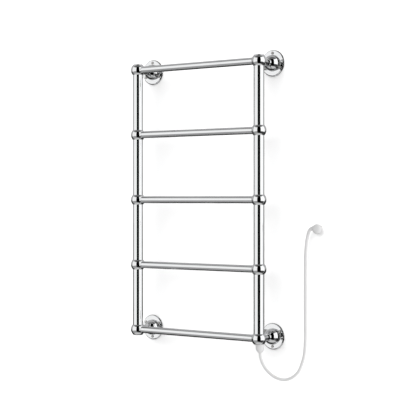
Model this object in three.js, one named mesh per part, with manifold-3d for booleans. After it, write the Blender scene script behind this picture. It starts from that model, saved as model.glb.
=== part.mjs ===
// Electrically heated wall-mounted towel rack: a chromed ladder of two posts and five rungs.
// The tubes meet in hollow ball fittings. Four arms carry the ladder off the wall, each one
// standing on a round flange that three screws hold. The right post houses the heater.
// Units are millimetres and +Z is up. The origin is the middle of the four flanges, in the
// plane of the wall. The wall lies towards +Y and the front of the rack faces -Y.

import * as THREE from "three";
import { mergeVertices } from "three/addons/utils/BufferGeometryUtils.js";
import Module from "manifold-3d";

const wasm = await Module();
wasm.setup();

// Driving dimensions of the ladder
const RUNG_COUNT = 5;
const RUNG_PITCH = 218;
const POST_SPACING = 482;
const POST_STANDOFF = 85; // from the wall to the axis of a post
const GAP = 0.3; // between two pieces that touch

// Tubes
const POST_RADIUS = 17;
const POST_BORE_RADIUS = 15.5;
const RUNG_RADIUS = 11.5;
const RUNG_BORE_RADIUS = 10.3;
const TUBE_SIDES = 20;

// Ball fittings
const BALL_RADIUS = 23.6;
const BALL_ARC_STEPS = 6;
const SHOULDER_HEIGHT = 12.6; // from the middle of the ball to where a post stops
const RUNG_SEAT = 16.6; // from the axis of the ball to where a rung or an arm stops
const CAVITY_RADIUS = 12;
const PORT_RADIUS = 7; // opening from the cavity into a rung
const SPIGOT_RADIUS = 15.1;
const SPIGOT_BORE_RADIUS = 13;
const SPIGOT_TOP = 24; // a spigot enters the bore of the post up to here

// End caps
const CAP_RADIUS = 16.6;
const CAP_FACE = 19.6; // from the middle of the ball to the outer face of the cap
const CAP_EDGE_RADIUS = 2.5;

// Wall flanges and the hubs on them
const FLANGE_RADIUS = 42;
const FLANGE_THICKNESS = 4.5;
const FLANGE_RIM = 2; // straight part of the edge, next to the wall
const FLANGE_BEVEL = 2.5;
const HUB_RADIUS = 26;
const HUB_HEIGHT = 6.5; // from the wall to the middle of the dome
const HUB_ARC_STEPS = 5;
const HUB_MOUTH_RADIUS = 12.7;
const HUB_SOCKET_FLOOR = 8; // from the wall to where the arm stops
const FLANGE_SECTORS = 24;

// Wall screws
const SCREWS_PER_FLANGE = 3;
const SCREW_CIRCLE_RADIUS = 32;
const SCREW_HEAD_RADIUS = 4.6;
const SCREW_HEAD_HEIGHT = 2.8;
const SCREW_SHANK_RADIUS = 2.2;
const SCREW_HOLE_RADIUS = 2.6;
const SCREW_SIDES = 8;

// Heater in the right post
const BUSH_COLLAR_TOP = -14.6; // heights from the middle of the lowest right ball
const BUSH_COLLAR_BOTTOM = -16;
const BUSH_NECK_TOP = -4;
const WASHER_BOTTOM = -14.3;
const ELEMENT_RADIUS = 4;
const ELEMENT_BOTTOM = -15.6;
const ELEMENT_LENGTH = 660;
const CUTOUT_RADIUS = 4;
const CUTOUT_LENGTH = 24;
const CUTOUT_HEIGHT = 60; // from the middle of the lowest right ball to the middle of the cut-out
const CLIP_WALL = 0.8;
const CLIP_HEIGHT = 8;

// Strain relief under the lowest right ball: a skirt in the ball's socket, and below it a body a
// little off the post's axis, as radius and depth below the middle of the ball
const SKIRT_TOP = 16.3;
const SKIRT_FOOT = 18.2;
const RELIEF_OFFSET = [3, 1.5]; // in x and y
const RELIEF_PROFILE = [
  [13.2, 17],
  [13.2, 27],
  [12, 32.5],
  [9.8, 38],
  [7.2, 42.2],
  [5.4, 44.6],
];

// Power cord: the points that its centreline passes through
const CORD_RADIUS = 4.5;
const CORD_SIDES = 8;
const CORD_STEPS = 42;
const CORD_ROUTE = [
  [244, -83.5, -481],
  [244.6, -83.4, -490],
  [248.2, -82.8, -503],
  [253.9, -81.6, -516],
  [262.1, -79.8, -529],
  [274, -76.8, -541],
  [288, -73, -551.5],
  [305, -68.2, -558.5],
  [322, -62.8, -560.5],
  [339, -57, -555.5],
  [352.5, -51.2, -545.5],
  [362.6, -46.2, -532],
  [368.6, -41.2, -515],
  [372.7, -36.4, -496],
  [375, -31.8, -474],
  [374.5, -27, -446],
  [372.5, -22.6, -410],
  [370.4, -19, -365],
  [369, -16.8, -310],
  [368.2, -15.4, -255],
  [368.1, -14.7, -200],
  [369.8, -14.5, -155],
  [372.4, -14.5, -132],
  [374.7, -14.5, -118],
  [378.2, -14.5, -106],
];

// Plug
const PLUG_CENTRE = [410.2, -88.9]; // x and z of its axis, which points at the wall
const PLUG_RADIUS = 13;
const PLUG_BACK = 7; // from the wall to the face that the pins stand on
const PLUG_FRONT = 23.5;
const PLUG_EDGE_RADIUS = 12;
const PLUG_ARC_STEPS = 5;
const PLUG_SIDES = 24;
const NECK_RADIUS = 5.4;
const NECK_SIDES = 12;
const NECK_STEPS = 5;
const NECK_BEND = [
  [378.5, -14.5, -105.2], // where the cord enters the moulded neck
  [383.4, -14.5, -88.9],
  [403, -14.5, -88.3], // inside the body of the plug
];
const BLADE_SIZE = [1.5, 17.5, 6.3];
const BLADE_SPACING = 12.7;
const BLADE_RISE = 3;
const GROUND_PIN_RADIUS = 2.4;
const GROUND_PIN_LENGTH = 20.6;
const GROUND_PIN_DROP = 8.9;

const LADDER_HEIGHT = (RUNG_COUNT - 1) * RUNG_PITCH;
const LOWEST_RUNG = -LADDER_HEIGHT / 2;

const rack = new THREE.Group();

function finish(color, roughness, metalness) {
  return new THREE.MeshStandardMaterial({ color, roughness, metalness });
}

const chrome = finish(0xd8dadd, 0.06, 1);
const stainless = finish(0xb5b2ac, 0.35, 1);
const brass = finish(0xb79a56, 0.3, 1);
const nickel = finish(0xc9c6bf, 0.25, 1);
const blackRubber = finish(0x1c1c1c, 0.85, 0);
const whiteVinyl = finish(0xeeeeec, 0.45, 0);
const ceramic = finish(0xe4dfd2, 0.6, 0);

function add(name, geometry, material, x = 0, y = 0, z = 0) {
  const mesh = new THREE.Mesh(geometry, material);
  mesh.name = name;
  mesh.position.set(x, y, z);
  rack.add(mesh);
}

// A solid for booleans, from a closed geometry.
function solidOf(geometry) {
  const bare = geometry.clone();
  bare.deleteAttribute("normal");
  bare.deleteAttribute("uv");
  const merged = mergeVertices(bare, 1e-4);
  return new wasm.Manifold(
    new wasm.Mesh({
      numProp: 3,
      vertProperties: merged.attributes.position.array,
      triVerts: new Uint32Array(merged.index.array),
    }),
  );
}

// The geometry of a solid, for a mesh.
function geometryOf(solid) {
  const mesh = solid.getMesh();
  const geometry = new THREE.BufferGeometry();
  geometry.setAttribute("position", new THREE.BufferAttribute(mesh.vertProperties, 3));
  geometry.setIndex(new THREE.BufferAttribute(mesh.triVerts, 1));
  geometry.computeVertexNormals();
  return geometry;
}

// A body of revolution about Z. The profile is a list of [radius, height].
function turned(profile, sides) {
  const points = profile.map(([radius, height]) => new THREE.Vector2(radius, height));
  return new THREE.LatheGeometry(points, sides).rotateX(Math.PI / 2);
}

// Points of an arc in a profile, angles in degrees from the horizontal.
function arc(centreRadius, centreHeight, radius, fromDegrees, toDegrees, steps) {
  return Array.from({ length: steps + 1 }, (_, i) => {
    const angle = THREE.MathUtils.degToRad(fromDegrees + ((toDegrees - fromDegrees) * i) / steps);
    return [centreRadius + radius * Math.cos(angle), centreHeight + radius * Math.sin(angle)];
  });
}

// A straight tube along Z with open ends, from height 0 up.
function tube(radius, bore, length) {
  const wall = [
    [bore, 0],
    [radius, 0],
    [radius, length],
    [bore, length],
    [bore, 0],
  ];
  return turned(wall, TUBE_SIDES);
}

// A solid rod along Z, from height 0 up.
function rod(radius, length, sides = TUBE_SIDES) {
  const wall = [
    [0, 0],
    [radius, 0],
    [radius, length],
    [0, length],
  ];
  return turned(wall, sides);
}

// Lower half of the inside of a ball: the socket and the spigot of a post, or a bare socket.
function ballInside(hasSpigot) {
  const socketRadius = POST_RADIUS + GAP;
  const socketMouth = Math.sqrt(BALL_RADIUS ** 2 - socketRadius ** 2);
  const spigot = [
    [SPIGOT_BORE_RADIUS, -SPIGOT_TOP],
    [SPIGOT_RADIUS, -SPIGOT_TOP],
    [SPIGOT_RADIUS, -SHOULDER_HEIGHT],
  ];
  const shoulder = [[CAVITY_RADIUS, -SHOULDER_HEIGHT]];
  return [
    ...(hasSpigot ? spigot : shoulder),
    [socketRadius, -SHOULDER_HEIGHT],
    [socketRadius, -socketMouth],
  ];
}

// A hollow ball with a socket for each post, one for the rung and, on a corner, one for the arm.
// rungSide is +1 where the rung lies towards +X.
function ballFitting(postAbove, postBelow, rungSide, hasArm) {
  const lower = ballInside(postBelow);
  const upper = ballInside(postAbove)
    .map(([radius, height]) => [radius, -height])
    .reverse();
  const [mouthRadius, mouthHeight] = upper[0];
  const latitude = THREE.MathUtils.radToDeg(Math.atan2(mouthHeight, mouthRadius));
  const outside = arc(0, 0, BALL_RADIUS, -latitude, latitude, BALL_ARC_STEPS).slice(1, -1);
  const profile = [...lower, ...outside, ...upper, lower[0]];
  let ball = solidOf(turned(profile, TUBE_SIDES));

  const socket = rod(RUNG_RADIUS + GAP, BALL_RADIUS).translate(0, 0, RUNG_SEAT);
  const port = rod(PORT_RADIUS, BALL_RADIUS);
  const towardsRung = (rungSide * Math.PI) / 2;
  ball = ball.subtract(solidOf(socket.clone().rotateY(towardsRung)));
  ball = ball.subtract(solidOf(port.rotateY(towardsRung)));
  if (hasArm) ball = ball.subtract(solidOf(socket.clone().rotateX(-Math.PI / 2)));
  return geometryOf(ball);
}

// A plug that closes the unused socket of a corner ball, pointing up.
function endCap() {
  const foot = SHOULDER_HEIGHT + GAP;
  const edgeFoot = CAP_FACE - CAP_EDGE_RADIUS;
  const edge = arc(CAP_RADIUS - CAP_EDGE_RADIUS, edgeFoot, CAP_EDGE_RADIUS, 0, 90, 3);
  const profile = [[0, foot], [CAP_RADIUS, foot], ...edge, [0, CAP_FACE]];
  return turned(profile, TUBE_SIDES);
}

// Angles of the screws about the axis of a flange: one screw points away from the rack's middle.
function screwAngles(upDown) {
  return Array.from({ length: SCREWS_PER_FLANGE }, (_, i) => {
    return (upDown * Math.PI) / 2 + (i * 2 * Math.PI) / SCREWS_PER_FLANGE;
  });
}

// A round bevelled plate with a domed hub, bored for the arm. Its back lies in the wall plane.
function wallFlange(upDown) {
  const domeEnd = Math.acos(HUB_MOUTH_RADIUS / HUB_RADIUS);
  const domeTop = HUB_HEIGHT + HUB_RADIUS * Math.sin(domeEnd);
  const domeDegrees = THREE.MathUtils.radToDeg(domeEnd);
  const socketRadius = RUNG_RADIUS + GAP;
  const profile = [
    [0, 0],
    [FLANGE_RADIUS, 0],
    [FLANGE_RADIUS, FLANGE_RIM],
    [FLANGE_RADIUS - FLANGE_BEVEL, FLANGE_THICKNESS],
    [HUB_RADIUS, FLANGE_THICKNESS],
    ...arc(0, HUB_HEIGHT, HUB_RADIUS, 0, domeDegrees, HUB_ARC_STEPS),
    [socketRadius, domeTop],
    [socketRadius, HUB_SOCKET_FLOOR],
    [0, HUB_SOCKET_FLOOR],
  ];
  let flange = solidOf(turned(profile, FLANGE_SECTORS).rotateX(Math.PI / 2));
  for (const angle of screwAngles(upDown)) {
    const hole = rod(SCREW_HOLE_RADIUS, 3 * FLANGE_THICKNESS, SCREW_SIDES)
      .rotateX(Math.PI / 2)
      .translate(
        SCREW_CIRCLE_RADIUS * Math.cos(angle),
        FLANGE_THICKNESS,
        SCREW_CIRCLE_RADIUS * Math.sin(angle),
      );
    flange = flange.subtract(solidOf(hole));
  }
  return geometryOf(flange);
}

// A pan-head screw along -Y, from the wall plane to its head on the face of the flange.
function wallScrew() {
  const seat = FLANGE_THICKNESS + GAP;
  const profile = [
    [0, GAP],
    [SCREW_SHANK_RADIUS, GAP],
    [SCREW_SHANK_RADIUS, seat],
    [SCREW_HEAD_RADIUS, seat],
    [SCREW_HEAD_RADIUS, seat + SCREW_HEAD_HEIGHT / 3],
    [SCREW_HEAD_RADIUS * 0.75, seat + SCREW_HEAD_HEIGHT * 0.8],
    [0, seat + SCREW_HEAD_HEIGHT],
  ];
  return turned(profile, SCREW_SIDES).rotateX(Math.PI / 2);
}

// The heater's brass bush: a collar against the washer and a neck inside the ball.
function elementBush() {
  const neckRadius = CAVITY_RADIUS - GAP;
  const boreRadius = ELEMENT_RADIUS + GAP;
  const profile = [
    [boreRadius, BUSH_COLLAR_BOTTOM],
    [CAP_RADIUS, BUSH_COLLAR_BOTTOM],
    [CAP_RADIUS, BUSH_COLLAR_TOP],
    [neckRadius, BUSH_COLLAR_TOP],
    [neckRadius, BUSH_NECK_TOP],
    [boreRadius, BUSH_NECK_TOP],
    [boreRadius, BUSH_COLLAR_BOTTOM],
  ];
  return turned(profile, TUBE_SIDES);
}

function elementWasher() {
  const top = -SHOULDER_HEIGHT - GAP;
  return tube(CAP_RADIUS, CAVITY_RADIUS, top - WASHER_BOTTOM).translate(0, 0, WASHER_BOTTOM);
}

// A flat spring clip that holds the cut-out against the element: an oval band, lying level.
function cutoutClip() {
  const spread = ELEMENT_RADIUS + CUTOUT_RADIUS + GAP;
  const oval = (path, radius) => {
    path.absarc(0, 0, radius, Math.PI / 2, (3 * Math.PI) / 2, false);
    path.absarc(spread, 0, radius, -Math.PI / 2, Math.PI / 2, false);
    path.closePath();
    return path;
  };
  const band = oval(new THREE.Shape(), CUTOUT_RADIUS + GAP + CLIP_WALL);
  band.holes.push(oval(new THREE.Path(), CUTOUT_RADIUS + GAP));
  const options = { depth: CLIP_HEIGHT, bevelEnabled: false, curveSegments: 6 };
  return new THREE.ExtrudeGeometry(band, options);
}

// The sleeve that the cord leaves by, hanging from height 0 at the middle of the ball.
function strainRelief() {
  const first = RELIEF_PROFILE[0];
  const last = RELIEF_PROFILE.at(-1);
  const skin = [...RELIEF_PROFILE].reverse().map(([radius, depth]) => [radius, -depth]);
  const profile = [[0, -last[1]], ...skin, [0, -first[1]]];
  const body = turned(profile, TUBE_SIDES).translate(...RELIEF_OFFSET, 0);
  const skirt = rod(CAP_RADIUS, SKIRT_FOOT - SKIRT_TOP, TUBE_SIDES).translate(0, 0, -SKIRT_FOOT);
  return geometryOf(solidOf(skirt).add(solidOf(body)));
}

// A round bar along a curve.
function bar(extrudePath, radius, sides, steps) {
  const corners = Array.from({ length: sides }, (_, i) => {
    const angle = (2 * Math.PI * i) / sides;
    return new THREE.Vector2(radius * Math.cos(angle), radius * Math.sin(angle));
  });
  const section = new THREE.Shape(corners);
  return new THREE.ExtrudeGeometry(section, { steps, extrudePath, bevelEnabled: false });
}

function powerCord() {
  const route = CORD_ROUTE.map((point) => new THREE.Vector3(...point));
  return bar(new THREE.CatmullRomCurve3(route), CORD_RADIUS, CORD_SIDES, CORD_STEPS);
}

// A round moulded body with its axis towards the wall, and the bent neck that holds the cord.
function plugBody() {
  const edgeCentre = PLUG_RADIUS - PLUG_EDGE_RADIUS;
  const profile = [
    [0, PLUG_BACK],
    [PLUG_RADIUS, PLUG_BACK],
    ...arc(edgeCentre, PLUG_FRONT - PLUG_EDGE_RADIUS, PLUG_EDGE_RADIUS, 0, 90, PLUG_ARC_STEPS),
    [0, PLUG_FRONT],
  ];
  const body = turned(profile, PLUG_SIDES)
    .rotateX(Math.PI / 2)
    .translate(PLUG_CENTRE[0], 0, PLUG_CENTRE[1]);
  const bend = NECK_BEND.map((point) => new THREE.Vector3(...point));
  const neck = bar(new THREE.QuadraticBezierCurve3(...bend), NECK_RADIUS, NECK_SIDES, NECK_STEPS);
  return geometryOf(solidOf(body).add(solidOf(neck)));
}

function groundPin() {
  const profile = [
    [0, 0],
    [GROUND_PIN_RADIUS, 0],
    [GROUND_PIN_RADIUS, GROUND_PIN_LENGTH - GROUND_PIN_RADIUS],
    [GROUND_PIN_RADIUS / 2, GROUND_PIN_LENGTH],
    [0, GROUND_PIN_LENGTH],
  ];
  return turned(profile, SCREW_SIDES).rotateX(-Math.PI / 2);
}

// The frame: posts, balls and rungs, numbered from the bottom up.
const sides = [
  { name: "left", x: -POST_SPACING / 2, inward: 1 },
  { name: "right", x: POST_SPACING / 2, inward: -1 },
];
const postSectionLength = RUNG_PITCH - 2 * (SHOULDER_HEIGHT + GAP);

for (const side of sides) {
  for (let i = 0; i < RUNG_COUNT; i++) {
    const height = LOWEST_RUNG + i * RUNG_PITCH;
    const isBottom = i === 0;
    const isTop = i === RUNG_COUNT - 1;
    const ball = ballFitting(!isTop, !isBottom, side.inward, isTop || isBottom);
    add(`${side.name}_ball_${i + 1}`, ball, chrome, side.x, -POST_STANDOFF, height);
    if (isTop) continue;
    const section = tube(POST_RADIUS, POST_BORE_RADIUS, postSectionLength);
    const foot = height + SHOULDER_HEIGHT + GAP;
    add(`${side.name}_post_section_${i + 1}`, section, chrome, side.x, -POST_STANDOFF, foot);
  }
}

const rungLength = POST_SPACING - 2 * (RUNG_SEAT + GAP);
for (let i = 0; i < RUNG_COUNT; i++) {
  const rung = tube(RUNG_RADIUS, RUNG_BORE_RADIUS, rungLength)
    .translate(0, 0, -rungLength / 2)
    .rotateY(Math.PI / 2);
  add(`rung_${i + 1}`, rung, chrome, 0, -POST_STANDOFF, LOWEST_RUNG + i * RUNG_PITCH);
}

// The corners: arm, flange and screws at each one, and a cap on all but the cord's.
const armStart = HUB_SOCKET_FLOOR + GAP;
const armLength = POST_STANDOFF - RUNG_SEAT - GAP - armStart;

for (const side of sides) {
  for (const level of [
    { name: "bottom", sign: -1 },
    { name: "top", sign: 1 },
  ]) {
    const corner = `${level.name}_${side.name}`;
    const height = (level.sign * LADDER_HEIGHT) / 2;
    const arm = tube(RUNG_RADIUS, RUNG_BORE_RADIUS, armLength).rotateX(Math.PI / 2);
    add(`${corner}_arm`, arm, chrome, side.x, -armStart, height);
    add(`${corner}_flange`, wallFlange(level.sign), chrome, side.x, 0, height);
    screwAngles(level.sign).forEach((angle, i) => {
      const x = side.x + SCREW_CIRCLE_RADIUS * Math.cos(angle);
      const z = height + SCREW_CIRCLE_RADIUS * Math.sin(angle);
      add(`${corner}_screw_${i + 1}`, wallScrew(), stainless, x, 0, z);
    });
    const takesCord = corner === "bottom_right";
    if (takesCord) continue;
    const cap = endCap().rotateX(level.sign > 0 ? 0 : Math.PI);
    add(`${corner}_cap`, cap, chrome, side.x, -POST_STANDOFF, height);
  }
}

// The heater, from the lowest right ball up into the right post.
const heater = [POST_SPACING / 2, -POST_STANDOFF, LOWEST_RUNG];
const element = rod(ELEMENT_RADIUS, ELEMENT_LENGTH, SCREW_SIDES).translate(0, 0, ELEMENT_BOTTOM);
const cutout = rod(CUTOUT_RADIUS, CUTOUT_LENGTH, SCREW_SIDES).translate(
  ELEMENT_RADIUS + CUTOUT_RADIUS + GAP,
  0,
  CUTOUT_HEIGHT - CUTOUT_LENGTH / 2,
);
const clip = cutoutClip().translate(0, 0, CUTOUT_HEIGHT - CLIP_HEIGHT / 2);
add("heating_element", element, stainless, ...heater);
add("element_bush", elementBush(), brass, ...heater);
add("element_washer", elementWasher(), blackRubber, ...heater);
add("thermal_cutout", cutout, ceramic, ...heater);
add("cutout_clip", clip, stainless, ...heater);
add("strain_relief", strainRelief(), whiteVinyl, ...heater);

// The cord and its plug.
const pinRoot = GAP - PLUG_BACK;
const [plugX, plugZ] = PLUG_CENTRE;
add("power_cord", powerCord(), whiteVinyl);
add("plug_body", plugBody(), whiteVinyl);
for (const [name, side] of [
  ["neutral_blade", -1],
  ["live_blade", 1],
]) {
  const blade = new THREE.BoxGeometry(...BLADE_SIZE);
  const y = pinRoot + BLADE_SIZE[1] / 2;
  add(name, blade, nickel, plugX + (side * BLADE_SPACING) / 2, y, plugZ + BLADE_RISE);
}
add("ground_pin", groundPin(), nickel, plugX, pinRoot, plugZ - GROUND_PIN_DROP);

export default rack;
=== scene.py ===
"""Chromed towel warmer rack: smooth surfaces, finishes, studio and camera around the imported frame.

Lengths are in metres, in the frame's own axes: +Z up, the wall towards +Y and the front of the
rack towards -Y. Places and main sizes are read from the frame's boxes, and MM turns the maker's
millimetres into metres.
"""

import logging
import math
from dataclasses import dataclass
from enum import Enum

import bpy
import numpy as np
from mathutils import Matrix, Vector


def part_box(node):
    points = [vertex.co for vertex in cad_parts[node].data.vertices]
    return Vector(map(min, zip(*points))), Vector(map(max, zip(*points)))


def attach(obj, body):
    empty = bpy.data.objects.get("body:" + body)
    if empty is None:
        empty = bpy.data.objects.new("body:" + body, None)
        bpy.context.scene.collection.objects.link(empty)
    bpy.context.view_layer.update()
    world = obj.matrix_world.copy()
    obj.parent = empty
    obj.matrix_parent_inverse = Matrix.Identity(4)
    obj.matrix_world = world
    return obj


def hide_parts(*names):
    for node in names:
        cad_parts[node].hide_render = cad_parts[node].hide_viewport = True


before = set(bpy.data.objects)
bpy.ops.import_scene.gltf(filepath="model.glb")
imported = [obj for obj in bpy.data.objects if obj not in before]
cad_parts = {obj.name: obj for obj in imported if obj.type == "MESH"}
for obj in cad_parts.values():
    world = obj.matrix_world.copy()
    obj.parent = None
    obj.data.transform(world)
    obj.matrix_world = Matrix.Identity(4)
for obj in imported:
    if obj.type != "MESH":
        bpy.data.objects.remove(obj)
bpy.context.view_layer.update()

MM = 0.001
BODY = "root"
SHARP_ANGLE = math.radians(32)
# Rounded outlines: the cosine taken as straight, and how far the points beside an arc stand off
STRAIGHT = 0.99999
GUARD_SHARE = 0.3
GUARD_LIMIT = 0.15 * MM
# Finishes: where most of a noise's values lie, and how much finer roughness varies than colour
NOISE_SPREAD = (0.3, 0.7)
POLISH_FINER = 4

log = logging.getLogger("towel_warmer")


# --- Surfaces worked out as arrays -----------------------------------------------------------


class Axis(Enum):
    """Directions that a turned piece can stand in."""

    UP = (0.0, 0.0, 1.0)
    DOWN = (0.0, 0.0, -1.0)
    RIGHT = (1.0, 0.0, 0.0)
    LEFT = (-1.0, 0.0, 0.0)
    FRONT = (0.0, -1.0, 0.0)
    WALL = (0.0, 1.0, 0.0)


@dataclass
class Surface:
    """A mesh as arrays: its points, its four-sided faces and its three-sided faces."""

    points: np.ndarray
    quads: np.ndarray
    triangles: np.ndarray

    def joined(self, other: "Surface") -> "Surface":
        """Both surfaces as one, with the other's face numbers moved past this one's points."""
        shift = len(self.points)
        return Surface(
            np.vstack([self.points, other.points]),
            np.vstack([self.quads, other.quads + shift]),
            np.vstack([self.triangles, other.triangles + shift]),
        )

    def faces(self) -> list[list[int]]:
        """All the faces, as lists of point numbers."""
        return self.quads.tolist() + self.triangles.tolist()

    def facing_out(self) -> "Surface":
        """The surface with its faces turned round if it is inside out.

        The signed volume is the sum over all triangles of a . (b x c) / 6, which is negative
        when the corners run the wrong way.
        """
        split = np.vstack([self.quads[:, [0, 1, 2]], self.quads[:, [0, 2, 3]], self.triangles])
        a, b, c = (self.points[split[:, i]] for i in range(3))
        volume = np.einsum("ij,ij->i", a, np.cross(b, c)).sum() / 6
        if volume >= 0:
            return self
        return Surface(self.points, self.quads[:, ::-1], self.triangles[:, ::-1])


def lattice(rings: np.ndarray, poles: np.ndarray | None = None) -> Surface:
    """Faces over a grid of points whose rows are closed rings.

    Point (i, j) meets (i + 1, j), (i + 1, j + 1) and (i, j + 1), with j counted round the ring.

    Args:
        rings: array (rows, columns, 3).
        poles: the two points that fans close the first and the last row to. With none, the last
            row joins the first.

    Returns:
        The surface, facing outwards.
    """
    rows, columns = rings.shape[:2]
    number = np.arange(rows * columns).reshape(rows, columns)
    if poles is None:
        number = np.vstack([number, number[:1]])
    here, along = number[:-1], number[1:]
    quads = np.stack([here, along, np.roll(along, -1, 1), np.roll(here, -1, 1)], -1).reshape(-1, 4)
    points = rings.reshape(-1, 3)
    triangles = np.zeros((0, 3), int)
    if poles is not None:
        first, last = np.full(columns, len(points)), np.full(columns, len(points) + 1)
        points = np.vstack([points, poles])
        low, high = number[0], number[-1]
        start = np.stack([first, low, np.roll(low, -1)], -1)
        end = np.stack([last, np.roll(high, -1), high], -1)
        triangles = np.vstack([start, end])
    return Surface(points, quads, triangles).facing_out()


def stood(points: np.ndarray, axis: Axis, origin: np.ndarray) -> np.ndarray:
    """Points modelled about +Z, turned so that +Z lies along axis, and moved to origin.

    The turned X is the world X, or -Y where the axis lies along X; the turned Y is axis x X.
    """
    up = np.array(axis.value)
    across = np.array([0.0, -1.0, 0.0]) if abs(up[0]) > 0.5 else np.array([1.0, 0.0, 0.0])
    deep = np.cross(up, across)
    return points @ np.vstack([across, deep, up]) + np.asarray(origin)


def turned(
    profile: np.ndarray, axis: Axis, origin: np.ndarray, sectors: int = 72, loop: bool = False
) -> Surface:
    """A surface of revolution: (radius, height) becomes (r cos t, r sin t, h), t round the circle.

    Args:
        profile: array (n, 2) of radius and height. Its ends are at radius 0, unless it is a loop.
        axis: where the height points.
        origin: the point at radius 0 and height 0.
        sectors: steps round the circle.
        loop: whether the profile closes on itself.

    Returns:
        The surface, facing outwards.
    """
    angle = np.arange(sectors) * 2 * math.pi / sectors
    body = profile if loop else profile[1:-1]
    radius, height = body[:, :1], body[:, 1:]
    grid = [radius * np.cos(angle), radius * np.sin(angle), height + 0 * angle]
    rings = stood(np.stack(grid, -1), axis, origin)
    if loop:
        return lattice(rings)
    poles = np.zeros((2, 3))
    poles[:, 2] = profile[[0, -1], 1]
    return lattice(rings, stood(poles, axis, origin))


def carried(
    outline: np.ndarray,
    path: np.ndarray,
    side: np.ndarray,
    up: np.ndarray,
    scale: np.ndarray | float = 1.0,
    loop: bool = False,
) -> Surface:
    """An outline carried along a path: path + scale (x side + y up) for each outline point (x, y).

    Args:
        outline: array (n, 2), a closed outline without its first point repeated.
        path: array (m, 3).
        side: unit vectors (m, 3) for the outline's x.
        up: unit vectors (m, 3) for the outline's y.
        scale: one number, or one for each path point.
        loop: whether the path closes on itself.

    Returns:
        The surface, facing outwards.
    """
    size = np.broadcast_to(scale, len(path))[:, None, None]
    x, y = outline[None, :, :1], outline[None, :, 1:]
    rings = path[:, None] + size * (x * side[:, None] + y * up[:, None])
    return lattice(rings) if loop else lattice(rings, path[[0, -1]])


def unit(vectors: np.ndarray) -> np.ndarray:
    """Each vector divided by its length."""
    return vectors / np.linalg.norm(vectors, axis=-1, keepdims=True)


def circle(sides: int) -> np.ndarray:
    """The points of a circle of radius 1: cos t and sin t."""
    angle = np.arange(sides) * 2 * math.pi / sides
    return np.stack([np.cos(angle), np.sin(angle)], -1)


def round_bar(path: np.ndarray, radius: np.ndarray | float, sides: int = 28) -> Surface:
    """A round bar along a path that never runs along Y.

    The ring at each point lies across the path: its first axis is the tangent x Y, and its second
    is that x the tangent, so the rings don't twist.

    Args:
        path: array (n, 3).
        radius: one number, or one for each path point.
        sides: points in a ring.

    Returns:
        The surface, closed by a fan at each end.
    """
    tangent = unit(np.gradient(path, axis=0))
    side = unit(np.cross(tangent, [0.0, 1.0, 0.0]))
    return carried(circle(sides), path, side, np.cross(side, tangent), radius)


def arc(
    centre: tuple[float, float], radius: float, start: float, end: float, steps: int
) -> np.ndarray:
    """Points of an arc: centre + radius (cos t, sin t), with t from start to end in degrees."""
    angle = np.radians(np.linspace(start, end, steps + 1))
    return np.array(centre) + radius * np.stack([np.cos(angle), np.sin(angle)], -1)


def bent(start: np.ndarray, corner: np.ndarray, end: np.ndarray, steps: int = 7) -> np.ndarray:
    """Points after start on the curve (1 - t)^2 start + 2 t (1 - t) corner + t^2 end."""
    t = np.linspace(0, 1, steps + 1)[1:, None]
    return (1 - t) ** 2 * start + 2 * t * (1 - t) * corner + t**2 * end


def eased(
    corners: np.ndarray, radii: list[float] | tuple[float, ...], loop: bool = False, steps: int = 8
) -> np.ndarray:
    """An outline with an arc in place of each corner that has a radius.

    With a and b the unit directions from a corner to its neighbours and h half the angle between
    them, the arc starts r / tan h along a and ends as far along b, and its centre lies r / sin h
    along the line that halves the corner. Its points turn evenly from the one end to the other.
    A point close outside each end of an arc keeps the flat beside it flat when it is shaded.

    Args:
        corners: array (n, 2).
        radii: one for each corner, 0 for a sharp one.
        loop: whether the outline closes on itself.
        steps: steps in each arc.

    Returns:
        The outline, array (m, 2).
    """
    corners = np.asarray(corners, float)
    radius = np.array(radii)[:, None]
    if not loop:
        radius[[0, -1]] = 0
    rounded = radius > 0
    back = unit(np.roll(corners, 1, 0) - corners)
    on = unit(np.roll(corners, -1, 0) - corners)
    half = np.arccos(np.clip((back * on).sum(1, keepdims=True), -STRAIGHT, STRAIGHT)) / 2
    reach = radius / np.tan(half)
    middle = corners + unit(back + on + 1e-12) * radius / np.sin(half)
    first, last = corners + back * reach, corners + on * reach
    sweep = math.pi - 2 * half
    share = np.linspace(0, 1, steps + 1)[:, None, None]
    blend = np.sin((1 - share) * sweep) * (first - middle) + np.sin(share * sweep) * (last - middle)
    bend = middle + blend / np.sin(sweep)
    guard = np.minimum(GUARD_SHARE * radius, GUARD_LIMIT)
    spots = np.concatenate([[first + back * guard], bend, [last + on * guard]])
    spots = np.where(rounded, spots, corners)
    outline = spots.transpose(1, 0, 2).reshape(-1, 2)
    apart = np.linalg.norm(np.diff(outline, axis=0), axis=1) > 1e-9
    return outline[np.concatenate([[True], apart])]


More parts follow.
